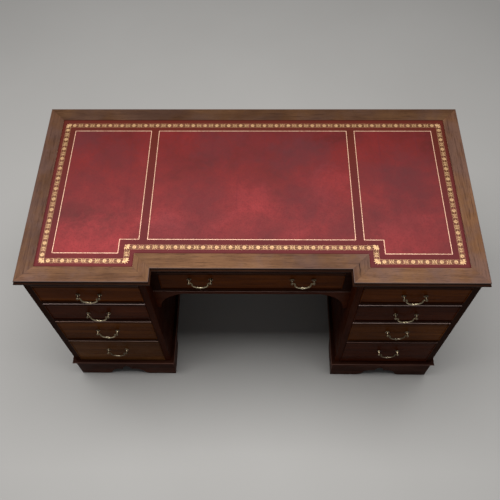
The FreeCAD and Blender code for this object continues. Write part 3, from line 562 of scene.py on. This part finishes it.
# The rails take the SHADED tones: painted shade
wood_rail_shaded = mahogany("mahogany_rail", "x", SHADED, rough=0.28, gloss=0.005, seed=5.3)
wood_apron = mahogany("mahogany_apron", "x", RED, rough=0.28, gloss=0.010, seed=6.9, wear_and_light=apron_highlight)
wood_plinth = mahogany(
    "mahogany_plinth", grain_by_face, FOOT, rough=0.32, gloss=0.012, seed=6.1, wear_and_light=plinth_shade_and_highlight)
oak_deep = plain_wood("oak_along_depth", "y", *OAK, rough=0.55)
oak_level = plain_wood("oak_along_width", "x", *OAK, rough=0.55)
pine_deep = plain_wood("pine_along_depth", "y", *PINE, rough=0.6)
pine_level = plain_wood("pine_along_width", "x", *PINE, rough=0.6)
brass_bail = aged_brass(
    "brass_bail", bright=rgb(0.88, 0.755, 0.50), tarnish=rgb(0.13, 0.092, 0.044),
    amount=0.35, rubbed_below=0.27)
brass_dull_bail = aged_brass(
    "brass_dull_bail", bright=rgb(0.43, 0.355, 0.245), tarnish=rgb(0.10, 0.070, 0.034),
    amount=0.45, rubbed_below=0.20)
brass_post = aged_brass(
    "brass_post", bright=rgb(0.30, 0.235, 0.15), tarnish=rgb(0.048, 0.032, 0.017), amount=0.9)

finishes = {
    "top_front_border": border_wood(
        "mahogany_front_border", grain_of_front_border, seed=0.3, faded=FADED, line=lines_of_front_border),
    "top_back_border": border_wood(
        "mahogany_back_border", "x", seed=1.7, faded=FADED_AND_SHADED_BACK, line=mitre_of_ends),
    "top_left_border": border_wood(
        "mahogany_left_border", "y", seed=2.9, faded=FADED_LEFT, line=mitre_of_ends),
    "top_right_border": border_wood(
        "mahogany_right_border", "y", seed=3.2, faded=FADED, line=mitre_of_ends),
    "top_ground": pine_level,
    "top_fixing_blocks": pine_deep,
    "frieze_frame": wood_rail_shaded,
    "frieze_back": wood_back,
    "kneehole_apron": wood_apron,
    "pedestal_bottoms": oak_deep,
    "drawer_runners": oak_deep,
    "drawer_stops": oak_level,
}
for side in SIDES:
    finishes[f"{side}_outer_side"] = wood_outer
    finishes[f"{side}_inner_side"] = wood_inner
    finishes[f"{side}_back_panel"] = wood_back
    finishes[f"{side}_drawer_rails"] = wood_rail_shaded
    finishes[f"{side}_plinth"] = wood_plinth
for index, (drawer, (tones, highlight_share)) in enumerate(DRAWER_FRONTS.items()):
    front_low, front_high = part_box(f"{drawer}_front")
    finishes[f"{drawer}_front"] = mahogany(
        f"mahogany_{drawer}", "x", tones, rough=0.18, gloss=0.008, seed=7.7 + 1.3 * index,
        wear_and_light=drawer_highlight_and_shade(front_low.z, front_high.z, highlight_share))
    finishes[f"{drawer}_box"] = oak_deep
    finishes[f"{drawer}_handle_posts"] = brass_post
for name in nodes:
    if name.endswith("_bail"):
        finishes[name] = brass_dull_bail if name.startswith(DULL_BAILS) else brass_bail
for name, material in finishes.items():
    for material_slot in nodes[name].material_slots:
        material_slot.material = material

leather = tooled_leather("crimson_skiver")
gilt_line_leaf = gold_leaf(
    "gilt_line_leaf", wear_and_light=0.5, light=rgb(0.88, 0.58, 0.40), deep=rgb(0.68, 0.38, 0.24))
gilt_band_leaf = gold_leaf(
    "gilt_band_leaf", wear_and_light=0.6, light=rgb(0.66, 0.42, 0.22), deep=rgb(0.48, 0.28, 0.12))
gilt_ground_leaf = gold_leaf(
    "gilt_ground_leaf", wear_and_light=1.0, light=rgb(0.125, 0.048, 0.0145), deep=rgb(0.078, 0.025, 0.0085))


# Plan of the gilt tooling, set in from the leather's edges

def inset_plan(side, step, back, centre, wing):
    """Half plan of a line in the leather: x of side and step, y of back, centre front and wing front."""
    return LEATHER_HALF - side, STEP_X + step, LEATHER_BACK - back, STEP_Y + centre, LEATHER_FRONT + wing


PANEL_LINES = inset_plan(side=0.0460, step=0.0465, back=0.0465, centre=0.0465, wing=0.0445)
PANEL_GAP_X = 0.3115
PANEL_GAP = 0.025
LINE_WIDTH = 0.0018
BAND = inset_plan(side=0.0195, step=0.0210, back=0.0235, centre=0.0205, wing=0.0190)
BAND_WIDTH = 0.0145
BAND_EDGE_WIDTH = 0.0005
BAND_EDGE_INSET = 0.009
BAND_GROUND_SHARE = 0.86
BAND_GROUND_PIECE = 0.004
ROSETTE_PITCH = 0.0388
ROSETTE_RADIUS = 0.0064
SPRAY_REACH = 0.0088
SPRAY_HEIGHT = 0.0066
FAN_SIZE = 0.0150
FAN_SETBACK = 0.0078
GILT_RISE = 0.00012
GROUND_RISE = 0.00007
TOOL_WAVER = 0.14
ORIGIN = 0.0, 0.0


# Leather, laid in the border

LEATHER_SETBACK = 0.00035
WAVE_HEIGHT = 0.00009
COCKLE_HEIGHT = 0.00005
EDGE_DIP = 0.00022
EDGE_DIP_REACH = 0.0025
EDGE_GAP = 0.0004
GRID_STEP = 0.006
SKIRT_LIFT = 0.00005
MARGIN_BLEND = 0.006


def unevenness(x, y, rate, layer):
    """Smooth noise from -1 to 1 over the plan, at a rate per metre, from one layer of the noise."""
    return noise.noise(Vector((x * rate, y * rate, layer)))


def leather_height(x, y):
    """The skiver's top: hardly uneven, and drawn down a little where it meets the border."""
    wave = WAVE_HEIGHT * unevenness(x, y, rate=9.0, layer=0.3)
    cockle = COCKLE_HEIGHT * unevenness(x, y, rate=40.0, layer=4.0)
    dip = EDGE_DIP * math.exp(-edge_distance(x, y) / EDGE_DIP_REACH)
    return LEATHER_TOP - LEATHER_SETBACK + wave + cockle - dip


def edge_distance(x, y):
    """How far a point on the leather is from its nearest edge."""
    reach = abs(x)
    to_front = y - LEATHER_FRONT if reach >= STEP_X else y - STEP_Y
    to_step = math.hypot(reach - STEP_X, max(y - STEP_Y, 0.0))
    return max(min(LEATHER_HALF - reach, LEATHER_BACK - y, to_front, to_step), 0.0)


def grid_lines(*stops):
    """Places from the first stop to the last, evenly spaced between the stops and through each of them."""
    lines = [stops[0]]
    for low, high in zip(stops, stops[1:]):
        count = math.ceil((high - low) / GRID_STEP)
        lines += [low + (high - low) * index / count for index in range(1, count)]
        lines.append(high)
    return lines


def new_piece(name, mesh, material):
    """A piece of the dressed leather, which rides on the carcass."""
    piece = bpy.data.objects.new(name, mesh)
    scene.collection.objects.link(piece)
    mesh.materials.append(material)
    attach(piece, "carcass")
    return piece


def margin_at(x, y):
    """1 on the dark margin outside the gilt lines and between the panels, 0 inside a panel."""
    outer, step, back, centre_front, wing_front = PANEL_LINES
    reach = abs(x)
    front = wing_front if reach > step else centre_front
    inside = min(outer - reach, back - y, y - front, abs(reach - PANEL_GAP_X) - PANEL_GAP / 2)
    return min(max(0.5 - inside / MARGIN_BLEND, 0.0), 1.0)


def build_leather():
    """A thin sheet with a skirt, on a fine grid, so that its margins and unevenness are in the mesh."""
    side, step = LEATHER_HALF - EDGE_GAP, STEP_X + EDGE_GAP
    step_front = STEP_Y + EDGE_GAP
    xs = grid_lines(-side, -step, step, side)
    ys = grid_lines(LEATHER_FRONT + EDGE_GAP, step_front, LEATHER_BACK - EDGE_GAP)
    mesh = bpy.data.meshes.new("leather_top")
    bm = bmesh.new()
    margin = bm.verts.layers.float.new("margin")
    corner = {}
    for i, x in enumerate(xs):
        for j, y in enumerate(ys):
            if abs(x) < step and y < step_front:
                continue
            corner[i, j] = bm.verts.new((x, y, leather_height(x, y)))
            corner[i, j][margin] = margin_at(x, y)
    for i in range(len(xs) - 1):
        for j in range(len(ys) - 1):
            around = [corner.get(at) for at in ((i, j), (i + 1, j), (i + 1, j + 1), (i, j + 1))]
            if all(around):
                bm.faces.new(around).smooth = True
    rim = [edge for edge in bm.edges if edge.is_boundary]
    skirt = bmesh.ops.extrude_edge_only(bm, edges=rim)["geom"]
    for part in skirt:
        if isinstance(part, bmesh.types.BMVert):
            part.co.z = leather_low.z + SKIRT_LIFT
    bm.to_mesh(mesh)
    bm.free()
    return new_piece("leather_top", mesh, leather)


# Gilt tooling on the leather: shapes drawn flat, then laid on the leather's surface

def gilt_mesh(name, shapes, material, rise=GILT_RISE):
    """One mesh of flat shapes, each a list of (x, y) corners round it."""
    mesh = bpy.data.meshes.new(name)
    bm = bmesh.new()
    for shape in shapes:
        face = bm.faces.new([bm.verts.new((x, y, leather_height(x, y) + rise)) for x, y in shape])
        if signed_area(shape) < 0:
            face.normal_flip()
    bm.to_mesh(mesh)
    bm.free()
    return new_piece(name, mesh, material)


def signed_area(shape):
    return sum(a[0] * b[1] - b[0] * a[1] for a, b in zip(shape, shape[1:] + shape[:1])) / 2


def strip(start, end, width, piece_length=0.012):
    """Short quads along a straight line, with hand-tooled unevenness in their width."""
    a, b = Vector(start), Vector(end)
    way = (b - a).normalized()
    side = Vector((-way.y, way.x))
    count = max(1, round((b - a).length / piece_length))
    rungs = []
    for index in range(count + 1):
        point = a.lerp(b, index / count)
        waver = TOOL_WAVER * unevenness(point.x, point.y, rate=55.0, layer=9.0)
        half = side * (width / 2 * (1 + waver))
        rungs.append((tuple(point - half), tuple(point + half)))
    return [[low, next_low, next_high, high] for (low, high), (next_low, next_high) in zip(rungs, rungs[1:])]


def closed_line(corners, width):
    """A line round a panel. Each side starts and ends half a width early, so that the corners are square."""
    shapes = []
    for start, end in zip(corners, corners[1:] + corners[:1]):
        early = (Vector(end) - Vector(start)).normalized() * width / 2
        shapes += strip(Vector(start) - early, Vector(end) - early, width)
    return shapes


def mirrored(corners):
    return [(-x, y) for x, y in reversed(corners)]


def panel_outlines():
    """Outlines of the middle panel and of the two wings."""
    outer, step, back, centre_front, wing_front = PANEL_LINES
    middle = PANEL_GAP_X - PANEL_GAP / 2
    inner = PANEL_GAP_X + PANEL_GAP / 2
    centre = [(-middle, centre_front), (middle, centre_front), (middle, back), (-middle, back)]
    wing = [
        (inner, centre_front), (step, centre_front), (step, wing_front),
        (outer, wing_front), (outer, back), (inner, back),
    ]
    return [centre, wing, mirrored(wing)]


def petal(start, angle, length, width, points=7):
    """A leaf shape from a start, pointing at an angle, and widest a little before its middle."""
    along = Vector((math.cos(angle), math.sin(angle)))
    across = Vector((-along.y, along.x))

    def edge(share, side):
        swell = side * width / 2 * math.sin(math.pi * share ** 0.8)
        return tuple(Vector(start) + along * length * share + across * swell)

    shares = [index / points for index in range(points + 1)]
    return [edge(share, -1) for share in shares] + [edge(share, 1) for share in reversed(shares[1:-1])]


def polar(centre, radius, angle):
    return centre[0] + radius * math.cos(angle), centre[1] + radius * math.sin(angle)


def disc(centre, radius, points=10):
    return [polar(centre, radius, math.tau * index / points) for index in range(points)]


def rosette(radius, petals=8):
    """Petals round an eye, as (along, across) shapes."""
    eye, start, length, width = 0.22 * radius, 0.27 * radius, 0.75 * radius, 0.56 * radius
    shapes = [disc(ORIGIN, eye)]
    for index in range(petals):
        angle = math.tau * index / petals
        shapes.append(petal(polar(ORIGIN, start, angle), angle, length, width))
    return shapes


def spray(reach, height):
    """Leaves that spring from an eye on both sides, with buds above, below and at the ends."""
    eye, inner_bud, outer_bud, end_bud = 0.0012, 0.0011, 0.0008, 0.0008
    inner_place, outer_place, end_place = 0.62 * height, 0.92 * height, 1.28 * reach
    leaf_start, leaf_lean, leaf_width = 0.0016, 0.85, 0.0023
    middle_start, middle_length, middle_width = 0.0034, 0.62 * reach, 0.0017
    shapes = [disc(ORIGIN, eye, 8)]
    for way, forward in ((-1, math.pi), (1, 0.0)):
        for lean in (leaf_lean, -leaf_lean):
            shapes.append(petal((way * leaf_start, 0.0), forward + way * lean, reach, leaf_width))
        shapes.append(petal((way * middle_start, 0.0), forward, middle_length, middle_width))
        shapes.append(disc((way * end_place, 0.0), end_bud, 8))
        shapes.append(disc((0.0, way * inner_place), inner_bud, 8))
        shapes.append(disc((0.0, way * outer_place), outer_bud, 6))
    return shapes


def fan(size):
    """Corner leaf-work: five leaves that open outwards along (1, 1) from a small eye."""
    eye, start, width = 0.16 * size, 0.2 * size, 0.34 * size
    shapes = [disc(ORIGIN, eye)]
    for lean in (-0.95, -0.48, 0.0, 0.48, 0.95):
        angle = math.pi / 4 + lean
        length = size * (0.95 - 0.22 * abs(lean))
        shapes.append(petal(polar(ORIGIN, start, angle), angle, length, width))
    return shapes


def moved(shapes, origin, way):
    """Shapes drawn in (along, across) carried to a place on the leather, along a direction."""
    across = (-way[1], way[0])

    def carried(u, v):
        return origin[0] + u * way[0] + v * across[0], origin[1] + u * way[1] + v * across[1]

    return [[carried(u, v) for u, v in shape] for shape in shapes]


def band_sides():
    """Each straight run of the band: its start, its direction, its length and the direction before it."""
    outer, step, back, centre_front, wing_front = BAND
    half = [(step, centre_front), (step, wing_front), (outer, wing_front), (outer, back)]
    path = [Vector(point) for point in half + mirrored(half)]
    sides = []
    for index, start in enumerate(path):
        run = path[(index + 1) % len(path)] - start
        before = start - path[index - 1]
        sides.append((start, run.normalized(), run.length, before.normalized()))
    return sides


def corner_leaves(at, before, way):
    """Leaf-work that opens to the outside of a corner of the band."""
    turn = before.x * way.y - before.y * way.x
    outwards = (before - way) if turn > 0 else (way - before)
    outwards.normalize()
    diagonal = Vector((outwards.x + outwards.y, outwards.y - outwards.x)) / math.sqrt(2)
    return moved(fan(FAN_SIZE), at - outwards * FAN_SETBACK, diagonal)


def ornament_places(length):
    """How far along a run its rosettes and sprays stand. A run too short for rosettes has one spray."""
    count = round(length / ROSETTE_PITCH)
    if count == 1:
        return [], [length / 2]
    pitch = length / count
    return [pitch * (index + 0.5) for index in range(count)], [pitch * index for index in range(1, count)]


def band_shapes():
    """Rosettes and sprays in turn between two fine edge lines, with leaf-work at the corners."""
    shapes = []
    for start, way, length, before in band_sides():
        rosettes, sprays = ornament_places(length)
        for along in rosettes:
            shapes += moved(rosette(ROSETTE_RADIUS), start + way * along, way)
        for along in sprays:
            shapes += moved(spray(SPRAY_REACH, SPRAY_HEIGHT), start + way * along, way)
        shapes += corner_leaves(start, before, way)
        across = Vector((-way.y, way.x))
        for offset in (-BAND_WIDTH / 2, BAND_WIDTH / 2):
            edge = start + across * offset
            edge_end = edge + way * (length - BAND_EDGE_INSET)
            shapes += strip(edge + way * BAND_EDGE_INSET, edge_end, BAND_EDGE_WIDTH)
    return shapes


def band_ground():
    """The dim gold that fills the band behind its ornament."""
    shapes = []
    for start, way, length, _ in band_sides():
        inset = BAND_WIDTH / 2
        ends = start + way * inset, start + way * (length - inset)
        shapes += strip(*ends, BAND_GROUND_SHARE * BAND_WIDTH, BAND_GROUND_PIECE)
    return shapes


leather_piece = build_leather()
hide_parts("writing_leather")
lines = [shape for corners in panel_outlines() for shape in closed_line(corners, LINE_WIDTH)]
gilt_lines = gilt_mesh("gilt_lines", lines, gilt_line_leaf)
gilt_ground = gilt_mesh("gilt_ground", band_ground(), gilt_ground_leaf, GROUND_RISE)
gilt_band = gilt_mesh("gilt_band", band_shapes(), gilt_band_leaf)


# Stage: pale floor, soft light from above, camera at the photograph's angle

FLOOR_HALF = 30.0


def pale_floor():
    mesh = bpy.data.meshes.new("floor")
    corners = [(-1, -1), (1, -1), (1, 1), (-1, 1)]
    mesh.from_pydata([(x * FLOOR_HALF, y * FLOOR_HALF, 0.0) for x, y in corners], [], [(0, 1, 2, 3)])
    floor = bpy.data.objects.new("floor", mesh)
    scene.collection.objects.link(floor)
    graph = Graph("pale_floor")
    tone = graph.noise(graph.place(), 1.4, 3.0)
    colour = graph.ramp(tone, (0.2, rgb(0.335, 0.325, 0.310)), (0.8, rgb(0.36, 0.35, 0.335)))
    mesh.materials.append(graph.finish(colour, 0.7))


def area_light(name, place, target, size, power):
    data = bpy.data.lights.new(name, "AREA")
    data.shape = "RECTANGLE"
    data.size, data.size_y = size
    data.energy = power
    lamp = bpy.data.objects.new(name, data)
    lamp.location = place
    lamp.rotation_euler = (Vector(target) - Vector(place)).to_track_quat("-Z", "Y").to_euler()
    scene.collection.objects.link(lamp)


def studio():
    world = bpy.data.worlds.new("studio")
    world.use_nodes = True
    background = world.node_tree.nodes["Background"]
    background.inputs["Color"].default_value = rgb(0.93, 0.96, 1.0)
    background.inputs["Strength"].default_value = 0.12
    scene.world = world
    area_light("ceiling", place=(-0.3, 0.0, 3.5), target=(-0.3, -0.1, 0.0), size=(3.6, 1.8), power=185.0)


def camera():
    data = bpy.data.cameras.new("camera")
    data.sensor_width = 36.0
    data.lens = 44.694
    view = bpy.data.objects.new("camera", data)
    view.location = (0.0232, -1.109, 2.2976)
    view.rotation_euler = (0.5304, 0.0113, 0.0106)
    scene.collection.objects.link(view)
    scene.camera = view


pale_floor()
studio()
camera()
scene.view_settings.view_transform = "Standard"
